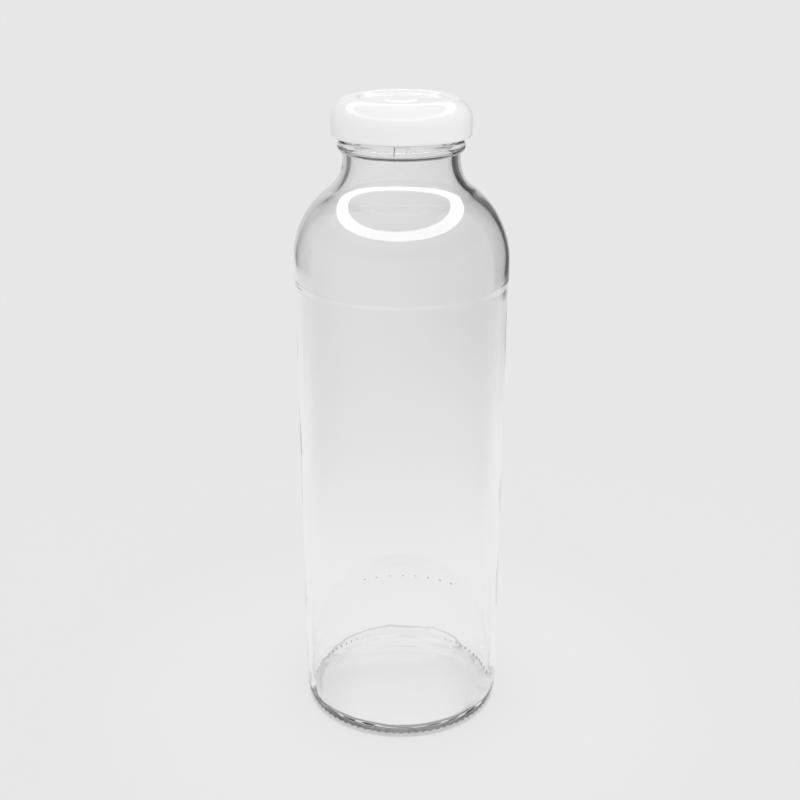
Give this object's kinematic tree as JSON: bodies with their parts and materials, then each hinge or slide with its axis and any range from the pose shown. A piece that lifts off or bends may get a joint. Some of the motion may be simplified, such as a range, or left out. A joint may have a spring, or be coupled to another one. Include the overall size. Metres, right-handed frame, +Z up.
{
  "type": "glass bottle",
  "caption": "Clear glass bottle with a round shoulder and short neck, closed by a white metal twist-off cap with a sealing ring inside.",
  "frame": {"origin": "centre of the foot, on the plane that the bottle stands on", "axes": "+Z up along the bottle's axis, -Y towards the side that the picture shows, +X to its right"},
  "size_m": [0.0728, 0.0728, 0.22],
  "materials": {
    "glass": "clear flint glass, smooth, fire-polished",
    "cap_lacquer": "gloss white lacquer on tinplate",
    "seal_compound": "off-white flowed-in plastisol, satin"
  },
  "bodies": {
    "bottle": {"glass_bottle": "glass"},
    "seal": {"sealing_ring": "seal_compound"},
    "cap": {"cap_shell": "cap_lacquer"}
  },
  "joints": [
    {"name": "cap_rise", "type": "slide", "parent": "bottle", "child": "seal", "axis": [0, 0, 1], "range_m": [0, 0.0196]},
    {"name": "cap_twist", "type": "hinge", "parent": "seal", "child": "cap", "pos_m": [0, 0, 0.2137], "axis": [0, 0, 1], "range_deg": [0, 540]}
  ],
  "couplings": [
    {"joint": "cap_rise", "follows": "cap_twist", "m_per_rad": 0.002069}
  ]
}
